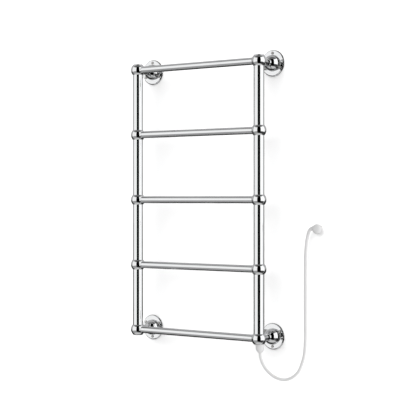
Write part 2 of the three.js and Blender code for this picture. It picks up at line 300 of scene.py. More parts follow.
def spline_through(points: np.ndarray, count: int) -> np.ndarray:
    """A natural cubic spline through points, sampled evenly along its length.

    The parameter is the distance along the chords. The second derivatives m solve, at each inner
    point, h0 m0 + 2 (h0 + h1) m1 + h1 m2 = 6 (slope after - slope before), and are 0 at the ends.

    Args:
        points: array (n, 3).
        count: number of samples.

    Returns:
        Array (count, 3).
    """
    gaps = np.linalg.norm(np.diff(points, axis=0), axis=1)
    knots = np.concatenate([[0], np.cumsum(gaps)])
    slopes = np.diff(points, axis=0) / gaps[:, None]
    system = np.eye(len(points))
    inner = np.arange(1, len(points) - 1)
    system[inner, inner - 1] = gaps[:-1]
    system[inner, inner] = 2 * (gaps[:-1] + gaps[1:])
    system[inner, inner + 1] = gaps[1:]
    right = np.zeros_like(points)
    right[1:-1] = 6 * np.diff(slopes, axis=0)
    bend = np.linalg.solve(system, right)

    def at(where: np.ndarray) -> np.ndarray:
        """The spline's points at these parameters."""
        k = np.clip(np.searchsorted(knots, where, side="right") - 1, 0, len(gaps) - 1)
        h, a = gaps[k, None], (where - knots[k])[:, None]
        b = h - a
        cubic = (bend[k] * b**3 + bend[k + 1] * a**3) / (6 * h)
        before = (points[k] / h - bend[k] * h / 6) * b
        after = (points[k + 1] / h - bend[k + 1] * h / 6) * a
        return cubic + before + after

    finer = 20
    fine = at(np.linspace(0, knots[-1], finer * count))
    run = np.concatenate([[0], np.cumsum(np.linalg.norm(np.diff(fine, axis=0), axis=1))])
    even = np.linspace(0, run[-1], count)
    return np.stack([np.interp(even, run, fine[:, i]) for i in range(3)], -1)


def rod_profile(radius: float, length: float, foot: float, tip: float) -> np.ndarray:
    """The outline of a solid rod, with these roundings at its foot and its tip."""
    corners = np.array([(0, 0), (radius, 0), (radius, length), (0, length)])
    return eased(corners, [0, foot, tip, 0])


# --- Finishes --------------------------------------------------------------------------------


class Noise(Enum):
    """How a finish varies: in even clouds, or drawn out in lines along X, Y or Z."""

    CLOUDS = (1.0, 1.0, 1.0)
    ALONG_X = (0.04, 1.0, 1.0)
    ALONG_Z = (1.0, 1.0, 0.04)


@dataclass(frozen=True)
class Finish:
    """A procedural finish with clouded colour and roughness and a fine surface texture.

    Attributes:
        slot: the record's material slot.
        dark, light: the two ends of the colour's slight variation.
        rough: lowest and highest roughness.
        metallic: 1 for metal.
        cloud_scale: clouds per metre, about.
        grain_scale: bumps per metre, about.
        grain_depth: height of the bumps.
        grain: shape of the bumps.
        coat: weight of a clear coat.
    """

    slot: str
    dark: tuple[float, float, float]
    light: tuple[float, float, float]
    rough: tuple[float, float]
    metallic: float = 1.0
    cloud_scale: float = 18.0
    grain_scale: float = 900.0
    grain_depth: float = 0.004 * MM
    grain: Noise = Noise.CLOUDS
    coat: float = 0.0

    def made(self) -> bpy.types.Material:
        """The Blender material.

        Returns:
            A material whose noise reads Object coordinates.
        """
        material = bpy.data.materials.new(f"{self.slot}_finish")
        material.use_nodes = True
        nodes, links = material.node_tree.nodes, material.node_tree.links
        shader = nodes["Principled BSDF"]
        shader.inputs["Metallic"].default_value = self.metallic
        shader.inputs["Coat Weight"].default_value = self.coat

        def noise(scale: float, detail: float, where: bpy.types.NodeSocket) -> bpy.types.NodeSocket:
            """The strength of a noise that reads the coordinates where."""
            node = nodes.new("ShaderNodeTexNoise")
            node.inputs["Scale"].default_value = scale
            node.inputs["Detail"].default_value = detail
            links.new(where, node.inputs["Vector"])
            return node.outputs["Fac"]

        place = nodes.new("ShaderNodeTexCoord").outputs["Object"]
        stretch = nodes.new("ShaderNodeMapping")
        stretch.inputs["Scale"].default_value = self.grain.value
        links.new(place, stretch.inputs["Vector"])
        stretched = stretch.outputs["Vector"]

        colour = nodes.new("ShaderNodeMix")
        colour.data_type = "RGBA"
        colour.inputs["A"].default_value = (*self.dark, 1)
        colour.inputs["B"].default_value = (*self.light, 1)
        links.new(noise(self.cloud_scale, 4, place), colour.inputs["Factor"])
        links.new(colour.outputs["Result"], shader.inputs["Base Color"])

        gloss = nodes.new("ShaderNodeMapRange")
        limits = zip(("From Min", "From Max", "To Min", "To Max"), (*NOISE_SPREAD, *self.rough))
        for name, value in limits:
            gloss.inputs[name].default_value = value
        links.new(noise(self.cloud_scale * POLISH_FINER, 3, stretched), gloss.inputs["Value"])
        links.new(gloss.outputs["Result"], shader.inputs["Roughness"])

        bump = nodes.new("ShaderNodeBump")
        bump.inputs["Strength"].default_value = 1
        bump.inputs["Distance"].default_value = self.grain_depth
        links.new(noise(self.grain_scale, 2, stretched), bump.inputs["Height"])
        links.new(bump.outputs["Normal"], shader.inputs["Normal"])
        return material


POLISHED_CHROME = Finish(
    slot="chrome",
    dark=(0.86, 0.87, 0.88),
    light=(0.92, 0.925, 0.93),
    rough=(0.015, 0.04),
    grain_scale=260,
    grain_depth=0.0006 * MM,
)
STAINLESS = Finish(
    slot="stainless",
    dark=(0.64, 0.63, 0.62),
    light=(0.76, 0.75, 0.73),
    rough=(0.12, 0.24),
    cloud_scale=120,
    grain_depth=0.003 * MM,
)
TURNED_BRASS = Finish(
    slot="brass",
    dark=(0.62, 0.46, 0.20),
    light=(0.78, 0.62, 0.32),
    rough=(0.18, 0.34),
    cloud_scale=90,
    grain=Noise.ALONG_X,
)
NICKEL_PLATE = Finish(
    slot="nickel",
    dark=(0.60, 0.57, 0.52),
    light=(0.72, 0.70, 0.65),
    rough=(0.14, 0.30),
    cloud_scale=160,
    grain=Noise.ALONG_Z,
)
BLACK_RUBBER = Finish(
    slot="rubber",
    dark=(0.012, 0.012, 0.012),
    light=(0.03, 0.03, 0.03),
    rough=(0.7, 0.9),
    metallic=0.0,
    grain_depth=0.02 * MM,
)
FIRED_CERAMIC = Finish(
    slot="ceramic",
    dark=(0.72, 0.68, 0.60),
    light=(0.84, 0.81, 0.75),
    rough=(0.5, 0.75),
    metallic=0.0,
    cloud_scale=200,
    grain_depth=0.03 * MM,
)
WHITE_VINYL = Finish(
    slot="white_vinyl",
    dark=(0.77, 0.77, 0.77),
    light=(0.83, 0.83, 0.83),
    rough=(0.34, 0.46),
    metallic=0.0,
    cloud_scale=60,
    grain_scale=1400,
    grain_depth=0.012 * MM,
    coat=0.15,
)


def new_object(name: str, points: np.ndarray, faces: list) -> bpy.types.Object:
    """A mesh object in the scene, from its points and faces."""
    mesh = bpy.data.meshes.new(name)
    mesh.from_pydata(points.tolist(), [], faces)
    made = bpy.data.objects.new(name, mesh)
    bpy.context.scene.collection.objects.link(made)
    return made


class Workshop:
    """Turns surfaces into finished pieces that ride on the frame."""

    def __init__(self) -> None:
        """Start with no material made."""
        self.materials: dict[str, bpy.types.Material] = {}

    def material(self, finish: Finish) -> bpy.types.Material:
        """The material of a finish, made once."""
        if finish.slot not in self.materials:
            self.materials[finish.slot] = finish.made()
        return self.materials[finish.slot]

    def bare(self, name: str, surface: Surface, finish: Finish) -> bpy.types.Object:
        """A mesh object with its finish, not yet part of the rack.

        Args:
            name: the object's name.
            surface: its shape, in place.
            finish: its finish.

        Returns:
            The object, at the origin.
        """
        piece = new_object(name, surface.points, surface.faces())
        piece.data.shade_smooth()
        piece.data.set_sharp_from_angle(angle=SHARP_ANGLE)
        piece.data.materials.append(self.material(finish))
        return piece

    def fit(self, piece: bpy.types.Object, node: str, finish: Finish) -> bpy.types.Object:
        """Put a piece in a node's place.

        Args:
            piece: the finished object.
            node: the CAD node that it stands for.
            finish: its finish.

        Returns:
            The piece.
        """
        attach(piece, BODY)
        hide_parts(node)
        log.info("%s: %d faces, %s", piece.name, len(piece.data.polygons), finish.slot)
        return piece

    def piece(self, node: str, surface: Surface, finish: Finish) -> bpy.types.Object:
        """Make the piece that stands for a node, and fit it."""
        return self.fit(self.bare(f"{node}_finished", surface, finish), node, finish)


def corners_of(node: str) -> tuple[np.ndarray, np.ndarray]:
    """The lowest and highest corners of a node's box, as arrays."""
    low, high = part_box(node)
    return np.array(low), np.array(high)


def centre_of(node: str) -> np.ndarray:
    """The middle of a node's box."""
    low, high = corners_of(node)
    return (low + high) / 2


def size_of(node: str) -> np.ndarray:
    """The size of a node's box."""
    low, high = corners_of(node)
    return high - low


def baked(piece: bpy.types.Object) -> None:
    """Replace a piece's mesh by the one that its modifiers make, and take them off."""
    graph = bpy.context.evaluated_depsgraph_get()
    made = bpy.data.meshes.new_from_object(piece.evaluated_get(graph))
    piece.modifiers.clear()
    piece.data = made


# --- The power lead --------------------------------------------------------------------------


@dataclass
class PowerLead:
    """The strain relief, the cord and its plug.

    Attributes:
        diameter: the cord's outside diameter.
        rings: rings along the cord.
        route: the points, in mm, that the cord's centreline passes through.
        neck: how the plug's neck bends from the cord's end into the body, in mm.
        neck_shares, neck_radii: radius of the neck at these shares of its length.
        plug_back_edge, plug_front_edge: rounding of the plug's block.
        skin_square, smoothing_passes: how the block and the neck are made one skin.
        skirt: the corners of the strain relief's skirt, in mm, as radius and depth below the
            ball's middle.
        skirt_rounding: rounding of each corner of the skirt.
        relief, relief_rounding: corners and rounding of the strain relief's body, in mm.
        relief_offset: from the post's axis to the body's.
        blade_lengths, blade_widths: how a blade narrows, as shares of its length and width.
        pin_rounding: rounding of the ground pin's tip, as a share of its radius.
    """

    diameter: float = 9 * MM
    rings: int = 360
    route: tuple[tuple[float, float, float], ...] = (
        (244, -83.5, -481),
        (244.6, -83.4, -490),
        (248.2, -82.8, -503),
        (253.9, -81.6, -516),
        (262.1, -79.8, -529),
        (274, -76.8, -541),
        (288, -73, -551.5),
        (305, -68.2, -558.5),
        (322, -62.8, -560.5),
        (339, -57, -555.5),
        (352.5, -51.2, -545.5),
        (362.6, -46.2, -532),
        (368.6, -41.2, -515),
        (372.7, -36.4, -496),
        (375, -31.8, -474),
        (374.5, -27, -446),
        (372.5, -22.6, -410),
        (370.4, -19, -365),
        (369, -16.8, -310),
        (368.2, -15.4, -255),
        (368.1, -14.7, -200),
        (369.8, -14.5, -155),
        (372.4, -14.5, -132),
        (374.7, -14.5, -118),
        (378.2, -14.5, -106),
    )
    neck: tuple[tuple[float, float, float], ...] = (
        (378.4, -14.5, -105.6),
        (381.2, -14.5, -98.6),
        (386.8, -14.5, -92.4),
        (394.1, -14.5, -89.2),
        (404, -14.5, -88.4),
    )
    neck_shares: tuple[float, ...] = (0, 0.35, 0.62, 1)
    neck_radii: tuple[float, ...] = (4.8 * MM, 5.0 * MM, 5.6 * MM, 8.5 * MM)
    plug_back_edge: float = 1.2 * MM
    plug_front_edge: float = 12 * MM
    skin_square: float = 0.45 * MM
    smoothing_passes: int = 14
    skirt: tuple[tuple[float, float], ...] = ((0, 18.2), (16.4, 18.2), (16.4, 16.3), (0, 16.3))
    skirt_rounding: tuple[float, ...] = (0, 0.5 * MM, 0.4 * MM, 0)
    relief: tuple[tuple[float, float], ...] = (
        (0, 44.6),
        (5.4, 44.6),
        (13.2, 34),
        (13.2, 17),
        (0, 17),
    )
    relief_rounding: tuple[float, ...] = (0, 1.0, 10, 0.4, 0)
    relief_offset: tuple[float, float, float] = (3 * MM, 1.5 * MM, 0)
    blade_lengths: tuple[float, ...] = (0, 0.1, 0.8, 0.86, 0.92, 0.96, 0.99, 1.0)
    blade_widths: tuple[float, ...] = (1, 1, 1, 0.97, 0.9, 0.8, 0.66, 0.5)
    pin_rounding: float = 0.8

    def cord_path(self) -> np.ndarray:
        """The centreline, sampled evenly."""
        return spline_through(MM * np.array(self.route), self.rings)

    def strain_relief(self) -> Surface:
        """A skirt in the socket of the lowest right ball, and a round-ended body below it."""
        axis = np.array([*centre_of("right_post_section_1")[:2], centre_of("rung_1")[2]])
        skirt = eased(MM * np.array(self.skirt) * (1, -1), self.skirt_rounding)
        radii = [MM * r for r in self.relief_rounding]
        body = eased(MM * np.array(self.relief) * (1, -1), radii, steps=12)
        offset = axis + np.array(self.relief_offset)
        return turned(skirt, Axis.UP, axis).joined(turned(body, Axis.UP, offset))

    def plug(self, shop: Workshop) -> bpy.types.Object:
        """The moulded body: a round block and a flared neck grown into one skin.

        The two shapes are joined, remade as one skin of small squares and smoothed, which leaves
        the soft fillets of a moulding.

        Args:
            shop: the workshop that makes the object.

        Returns:
            The plug's body.
        """
        low, high = corners_of("plug_body")
        radius = (high[2] - low[2]) / 2
        middle = np.array([high[0] - radius, 0, (high[2] + low[2]) / 2])
        block = eased(
            np.array([(0, -high[1]), (radius, -high[1]), (radius, -low[1]), (0, -low[1])]),
            [0, self.plug_back_edge, self.plug_front_edge, 0],
        )
        body = turned(block, Axis.FRONT, middle, sectors=96)
        path = spline_through(MM * np.array(self.neck), 60)
        share = np.linspace(0, 1, len(path))
        neck = round_bar(path, np.interp(share, self.neck_shares, self.neck_radii), sides=40)
        piece = shop.bare("plug_body_finished", body.joined(neck), WHITE_VINYL)
        skin = piece.modifiers.new("one_skin", "REMESH")
        skin.mode = "VOXEL"
        skin.voxel_size = self.skin_square
        smooth = piece.modifiers.new("soft_fillets", "SMOOTH")
        smooth.factor = 0.5
        smooth.iterations = self.smoothing_passes
        baked(piece)
        piece.data.shade_smooth()
        return piece

    def blade(self, node: str) -> Surface:
        """A flat blade: a rounded bar whose section is |x/a|^8 + |z/b|^8 = 1, slimmer at its tip."""
        low, high = corners_of(node)
        half, middle = (high - low) / 2, (high + low) / 2
        wave = circle(48)
        outline = np.sign(wave) * np.abs(wave) ** (2 / 8) * (half[0], half[2])
        run, scale = np.array(self.blade_lengths), np.array(self.blade_widths)
        path = np.tile(middle, (len(run), 1))
        path[:, 1] = low[1] + run * (high[1] - low[1])
        side, up = np.tile([1.0, 0, 0], (len(run), 1)), np.tile([0, 0, 1.0], (len(run), 1))
        return carried(outline, path, side, up, scale)

    def ground_pin(self) -> Surface:
        """A round pin with a rounded tip."""
        low, high = corners_of("ground_pin")
        radius, length = (high[0] - low[0]) / 2, high[1] - low[1]
        profile = rod_profile(radius, length, 0, self.pin_rounding * radius)
        origin = (low + high) / 2
        origin[1] = low[1]
        return turned(profile, Axis.WALL, origin, sectors=40)

    def build(self, shop: Workshop) -> None:
        """Args:
            shop: the workshop that makes and fits the pieces.
        """
        path = self.cord_path()
        cord = shop.piece("power_cord", round_bar(path, self.diameter / 2), WHITE_VINYL)
        relief = shop.piece("strain_relief", self.strain_relief(), WHITE_VINYL)
        plug = shop.fit(self.plug(shop), "plug_body", WHITE_VINYL)
        names = ("neutral_blade", "live_blade")
        blades = [shop.piece(name, self.blade(name), NICKEL_PLATE) for name in names]
        pin = shop.piece("ground_pin", self.ground_pin(), NICKEL_PLATE)


# --- The ladder ------------------------------------------------------------------------------


@dataclass
class Ladder:
    """Posts, rungs, ball fittings and end caps.

    Attributes:
        post_wall, rung_wall: wall thickness of the tubes.
        clearance: between a tube and its socket.
        lip: rounding at the mouth of a post's socket.
        bead: radius of the fine bead where a rung or an arm enters a ball.
        chamfer: at the ends of a tube.
        cap_foot, cap_face: the two ends of an end cap, from the ball's middle.
        cap_crown: how much lower the face is at its edge.
        cap_edge: rounding of an end cap's outer edge.
        shoulder: height above the ball's middle where a post stops.
        cavity: radius inside the ball.
        sides, rungs: the two posts and the number of rungs.
    """

    post_wall: float = 1.5 * MM
    rung_wall: float = 1.2 * MM
    clearance: float = 0.2 * MM
    lip: float = 0.6 * MM
    bead: float = 1.0 * MM
    chamfer: float = 0.3 * MM
    cap_foot: float = 12.9 * MM
    cap_face: float = 19.6 * MM
    cap_crown: float = 0.4 * MM
    cap_edge: float = 3.4 * MM
    shoulder: float = 12.6 * MM
    cavity: float = 13 * MM
    sides: tuple[str, ...] = ("left", "right")
    rungs: int = 5

    def ball_centre(self, side: str, number: int) -> np.ndarray:
        """Where the axes of a post and a rung cross."""
        post, rung = centre_of(f"{side}_post_section_1"), centre_of(f"rung_{number}")
        return np.array([post[0], post[1], rung[2]])

    def ball_radius(self) -> float:
        """The radius of a ball fitting."""
        return size_of("left_ball_2")[1] / 2

    def post_radius(self) -> float:
        """The outside radius of a post."""
        return size_of("left_post_section_1")[0] / 2

    def rung_radius(self) -> float:
        """The outside radius of a rung."""
        return size_of("rung_1")[2] / 2

    def tube(self, node: str, along: int, axis: Axis, radius: float, wall: float) -> Surface:
        """A straight tube with fine chamfers at its ends, as long as its node."""
        low, high = corners_of(node)
        start, length = (low + high) / 2, (high - low)[along]
        start[along] = low[along]
        bore = radius - wall
        corners = np.array([(bore, 0), (radius, 0), (radius, length), (bore, length)])
        profile = eased(corners, [self.chamfer] * 4, loop=True, steps=3)
        return turned(profile, axis, start, sectors=96, loop=True)

    def bead_ring(self, centre: np.ndarray, axis: Axis) -> Surface:
        """A fine ring where a tube of the rung's size enters a ball.

        The tube meets the ball in a circle of the tube's radius, at the height where
        radius squared plus height squared is the ball's radius squared.
        """
        radius = self.rung_radius()
        height = math.sqrt(self.ball_radius() ** 2 - radius**2)
        profile = np.array([radius, height]) + self.bead * circle(16)
        return turned(profile, axis, centre, sectors=96, loop=True)

    def ball(self, side: str, number: int) -> Surface:
        """A hollow ball with a socket above and below, and a bead round each side socket.

        The profile is the ball's arc, a rounded lip and the stepped socket above, then the same
        below, mirrored.

        Args:
            side: left or right.
            number: counted from the bottom.

        Returns:
            The surface.
        """
        centre = self.ball_centre(side, number)
        radius, socket = self.ball_radius(), self.post_radius() + self.clearance
        mouth = math.sqrt(radius**2 - socket**2)
        reach = math.degrees(math.atan2(mouth, socket) - self.lip / radius)
        shell = arc((0, 0), radius, -reach, reach, 56)
        lip = bent(shell[-1], np.array([socket, mouth]), np.array([socket, mouth - self.lip]))
        shoulder = np.array([(socket, self.shoulder), (self.cavity, self.shoulder)])
        upper = np.vstack([lip, shoulder])
        profile = np.vstack([shell, upper, upper[::-1] * (1, -1)])
        surface = turned(profile, Axis.UP, centre, sectors=112, loop=True)
        inward = Axis.RIGHT if side == "left" else Axis.LEFT
        surface = surface.joined(self.bead_ring(centre, inward))
        if number in (1, self.rungs):
            surface = surface.joined(self.bead_ring(centre, Axis.WALL))
        return surface

    def end_cap(self, node: str, axis: Axis, centre: np.ndarray) -> Surface:
        """A low plug with a rounded edge and a slightly crowned face."""
        radius = size_of(node)[0] / 2
        foot, face = self.cap_foot, self.cap_face
        corners = np.array([(0, foot), (radius, foot), (radius, face - self.cap_crown), (0, face)])
        return turned(eased(corners, [0, 0, self.cap_edge, 0], steps=12), axis, centre, sectors=96)

    def build(self, shop: Workshop) -> None:
        """Make the posts, rungs, balls and caps.

        Args:
            shop: the workshop that makes and fits the pieces.
        """
        for side in self.sides:
            for number in range(1, self.rungs):
                node = f"{side}_post_section_{number}"
                post = self.tube(node, 2, Axis.UP, self.post_radius(), self.post_wall)
                shop.piece(node, post, POLISHED_CHROME)
            for number in range(1, self.rungs + 1):
                shop.piece(f"{side}_ball_{number}", self.ball(side, number), POLISHED_CHROME)
        for number in range(1, self.rungs + 1):
            node = f"rung_{number}"
            rung = self.tube(node, 0, Axis.RIGHT, self.rung_radius(), self.rung_wall)
            shop.piece(node, rung, POLISHED_CHROME)
        for node, side, number, axis in (
            ("top_left_cap", "left", self.rungs, Axis.UP),
            ("top_right_cap", "right", self.rungs, Axis.UP),
            ("bottom_left_cap", "left", 1, Axis.DOWN),
        ):
            cap = self.end_cap(node, axis, self.ball_centre(side, number))
            shop.piece(node, cap, POLISHED_CHROME)


# --- The wall mounting -----------------------------------------------------------------------


@dataclass
class WallMounting:
    """Arms, flanges with their domed hubs, and wall screws.

    Attributes:
        plate: thickness of a flange at its flat face.
        rim: height of the straight edge next to the wall.
        bevel: how far the bevel runs in.
        hub, hub_height: radius of the domed hub, and height of its middle above the wall.
        mouth: radius of the lip round the arm.
        socket_floor: from the wall to where the arm stops.
        socket_gap: between the arm and its socket.
        plate_rounding: of the plate's corners, from the middle of its back to the hub.
        lip_in, lip_rise: where the crest of the lip stands, from the end of the dome.
        lip_rounding: of the lip's corners, from the dome to the socket's floor.
        screw_hole: radius of the hole for a screw.
        shank: radius of a screw below its head.
        seat_gap: between a screw's head and the flange.
        face_share: how much of the head's radius the crowned face takes.
        crown_drop, crown_power: how far the face falls to its edge, as a share of the head's
            height, and how late.
        recess_depth, recess_half_width, recess_reach, recess_wall: a screw's cross recess.
        recess_power: how sharply the recess's floor rises at the ends of the cross.
        corners, screws: the four flanges and the screws in each.
    """

    plate: float = 4.5 * MM
    rim: float = 2 * MM
    bevel: float = 2.5 * MM
    hub: float = 26 * MM
    hub_height: float = 6.5 * MM
    mouth: float = 12.4 * MM
    socket_floor: float = 8 * MM
    socket_gap: float = 0.15 * MM
    plate_rounding: tuple[float, ...] = (0, 0.4 * MM, 0.8 * MM, 1.2 * MM, 0.8 * MM, 0)
    lip_in: float = 0.4 * MM
    lip_rise: float = 0.25 * MM
    lip_rounding: tuple[float, ...] = (0, 0.3 * MM, 0.4 * MM, 0, 0)
    screw_hole: float = 2.6 * MM
    shank: float = 2.2 * MM
    seat_gap: float = 0.05 * MM
    face_share: float = 0.93
    crown_drop: float = 0.45
    crown_power: float = 2.4
    recess_depth: float = 0.8 * MM
    recess_half_width: float = 0.62 * MM
    recess_reach: float = 2.5 * MM
    recess_wall: float = 0.22 * MM
    recess_power: float = 0.6
    corners: tuple[str, ...] = ("bottom_left", "top_left", "bottom_right", "top_right")
    screws: tuple[int, ...] = (1, 2, 3)

    def arm_radius(self) -> float:
        """The outside radius of an arm."""
        return size_of("top_left_arm")[0] / 2

    def flange(self, corner: str) -> Surface:
        """A bevelled round plate and its domed hub, bored for the arm.

        The profile runs from the middle of the back, round the bevelled rim, across the flat face,
        up the hub's straight side and its dome, over the lip and down the socket to its floor.
        """
        radius = size_of(f"{corner}_flange")[0] / 2
        centre = centre_of(f"{corner}_flange")
        centre[1] = 0
        socket = self.arm_radius() + self.socket_gap
        plate = eased(
            np.array(
                [
                    (0, 0),
                    (radius, 0),
                    (radius, self.rim),
                    (radius - self.bevel, self.plate),
                    (self.hub, self.plate),
                    (self.hub, self.hub_height),
                ]
            ),
            self.plate_rounding,
        )[:-1]
        rise = math.degrees(math.acos(self.mouth / self.hub))
        dome = arc((0, self.hub_height), self.hub, 0, rise, 36)
        top = dome[-1, 1]
        crest = (self.mouth - self.lip_in, top + self.lip_rise)
        floor = self.socket_floor
        bore = [dome[-1], crest, (socket, top), (socket, floor), (0, floor)]
        lip = eased(np.array(bore), self.lip_rounding)[1:]
        return turned(np.vstack([plate, dome, lip]), Axis.FRONT, centre, sectors=144)

    def drilled(self, flange: bpy.types.Object, corner: str) -> None:
        """Cut the screw holes through a flange.

        Args:
            flange: the flange's object.
            corner: which corner it stands at.
        """
        depth = 3 * self.plate
        profile = np.array([(0, 0), (self.screw_hole, 0), (self.screw_hole, depth), (0, depth)])
        holes = None
        for number in self.screws:
            place = centre_of(f"{corner}_screw_{number}")
            place[1] = self.plate
            hole = turned(profile, Axis.FRONT, place, sectors=32)
            holes = hole if holes is None else holes.joined(hole)
        drill = new_object("drill", holes.points, holes.faces())
        cut = flange.modifiers.new("screw_holes", "BOOLEAN")
        cut.operation = "DIFFERENCE"
        cut.object = drill
        baked(flange)
        bpy.data.objects.remove(drill)

    def screw(self, node: str) -> Surface:
        """A pan-head screw with a cross recess.

        The head is a lattice of radius and angle. Its height is the dome's, less the recess: the
        recess is deepest in the middle and its floor rises to nothing at the ends of the cross. A
        point is in the cross where the smaller of |x| and |z| is under half the slot's width, with
        a short smooth ramp for the slot's walls.
        """
        low, high = corners_of(node)
        centre = (low + high) / 2
        centre[1] = 0
        head, shank = size_of(node)[0] / 2, self.shank
        seat, top = self.plate + self.seat_gap, -low[1]
        across, down = circle(96).T
        share = np.linspace(0, 1, 34)[1:] ** 0.9
        radius = share * head * self.face_share
        x, z = radius[:, None] * across, radius[:, None] * down
        crown = top - (top - seat) * self.crown_drop * share[:, None] ** self.crown_power
        near, far = np.minimum(abs(x), abs(z)), np.maximum(abs(x), abs(z))
        wall = np.clip((self.recess_half_width - near) / self.recess_wall + 0.5, 0, 1)
        wall = wall * wall * (3 - 2 * wall)
        floor = np.clip(1 - far / self.recess_reach, 0, 1) ** self.recess_power
        height = crown - self.recess_depth * wall * floor
        face = np.stack([x, z, height], -1)
        rim_end = crown[-1, 0]
        side = np.array(
            [
                (head * 0.975, rim_end - 0.2 * MM),
                (head, rim_end - 0.55 * MM),
                (head, seat + 0.2 * MM),
                (head * 0.97, seat),
                (shank, seat),
                (shank, -high[1]),
            ]
        )
        edge = [side[:, :1] * across, side[:, :1] * down, side[:, 1:] + 0 * across]
        rings = np.concatenate([face, np.stack(edge, -1)])
        poles = np.array([(0, 0, top - self.recess_depth), (0, 0, -high[1])])
        return lattice(stood(rings, Axis.FRONT, centre), stood(poles, Axis.FRONT, centre))

    def build(self, shop: Workshop, ladder: Ladder) -> None:
        """Make the arms, flanges and screws.

        Args:
            shop: the workshop that makes and fits the pieces.
            ladder: the ladder, which makes tubes.
        """
        for corner in self.corners:
            arm = ladder.tube(f"{corner}_arm", 1, Axis.WALL, self.arm_radius(), ladder.rung_wall)
            shop.piece(f"{corner}_arm", arm, POLISHED_CHROME)
            node = f"{corner}_flange"
            flange = shop.bare(f"{node}_finished", self.flange(corner), POLISHED_CHROME)
            self.drilled(flange, corner)
            shop.fit(flange, node, POLISHED_CHROME)
            for number in self.screws:
                screw = f"{corner}_screw_{number}"
                shop.piece(screw, self.screw(screw), STAINLESS)


# --- The heater ------------------------------------------------------------------------------


@dataclass
class Heater:
    """The heating element in the right post, with its bush, washer and thermal cut-out.

    Attributes:
        bore: radius of the bush's bore.
        collar, neck: height of the bush's collar, and radius of the neck above it.
        washer_bore: radius inside the washer.
        clip_wall: thickness of the spring clip's band.
    """

    bore: float = 4.2 * MM
    collar: float = 1.6 * MM
    neck: float = 10.6 * MM
    washer_bore: float = 11.1 * MM
    clip_wall: float = 0.8 * MM

    def rod(self, node: str, edge: float) -> Surface:
        """An upright rod as long as its node, with rounded ends."""
        low, high = corners_of(node)
        origin = (low + high) / 2
        origin[2] = low[2]
        radius, length = (high[0] - low[0]) / 2, high[2] - low[2]
        return turned(rod_profile(radius, length, edge, edge), Axis.UP, origin, sectors=48)

    def ring(self, node: str, outline: np.ndarray, edge: float) -> Surface:
        """A ring with a given section, standing on the bottom of its node's box."""
        origin = centre_of(node)
        origin[2] = corners_of(node)[0][2]
        profile = eased(outline, [edge] * len(outline), loop=True, steps=4)
        return turned(profile, Axis.UP, origin, sectors=72, loop=True)

    def bush(self) -> Surface:
        """A turned bush: a broad collar with a neck above it and a bore for the element."""
        size = size_of("element_bush")
        radius, height = size[0] / 2, size[2]
        lower = [(self.bore, 0), (radius, 0), (radius, self.collar), (self.neck, self.collar)]
        outline = [*lower, (self.neck, height), (self.bore, height)]
        return self.ring("element_bush", np.array(outline), 0.2 * MM)

    def washer(self) -> Surface:
        """A flat rubber ring."""
        size = size_of("element_washer")
        radius, height = size[0] / 2, size[2]
        inner = self.washer_bore
        outline = [(inner, 0), (radius, 0), (radius, height), (inner, height)]
        return self.ring("element_washer", np.array(outline), 0.3 * MM)

    def clip(self) -> Surface:
        """A flat spring band bent into an oval round the element and the cut-out.

        Its path is two half circles joined by straight runs: the middle of each end plus the
        band's radius times (cos t, sin t).
        """
        low, high = corners_of("cutout_clip")
        half_height, radius = (high[2] - low[2]) / 2, (high[1] - low[1]) / 2 - self.clip_wall / 2
        direction = np.pad(circle(96), ((0, 0), (0, 1)))
        middle = (low + high) / 2
        spread = (high[0] - low[0]) / 2 - radius - self.clip_wall / 2
        ends = middle + np.outer(np.sign(direction[:, 0] + 1e-9), [spread, 0, 0])
        corners = np.array([(-1, -1), (1, -1), (1, 1), (-1, 1)]) * (self.clip_wall / 2, half_height)
        section = eased(corners, [0.2 * MM] * 4, loop=True, steps=3)
        up = np.tile([0.0, 0.0, 1.0], (len(direction), 1))
        return carried(section, ends + radius * direction, direction, up, loop=True)

    def build(self, shop: Workshop) -> None:
        """Make the heater's pieces.

        Args:
            shop: the workshop that makes and fits the pieces.
        """
        shop.piece("heating_element", self.rod("heating_element", 2 * MM), STAINLESS)
        shop.piece("element_bush", self.bush(), TURNED_BRASS)
        shop.piece("element_washer", self.washer(), BLACK_RUBBER)
        shop.piece("thermal_cutout", self.rod("thermal_cutout", 0.8 * MM), FIRED_CERAMIC)
        shop.piece("cutout_clip", self.clip(), STAINLESS)


# --- Shader arithmetic -----------------------------------------------------------------------


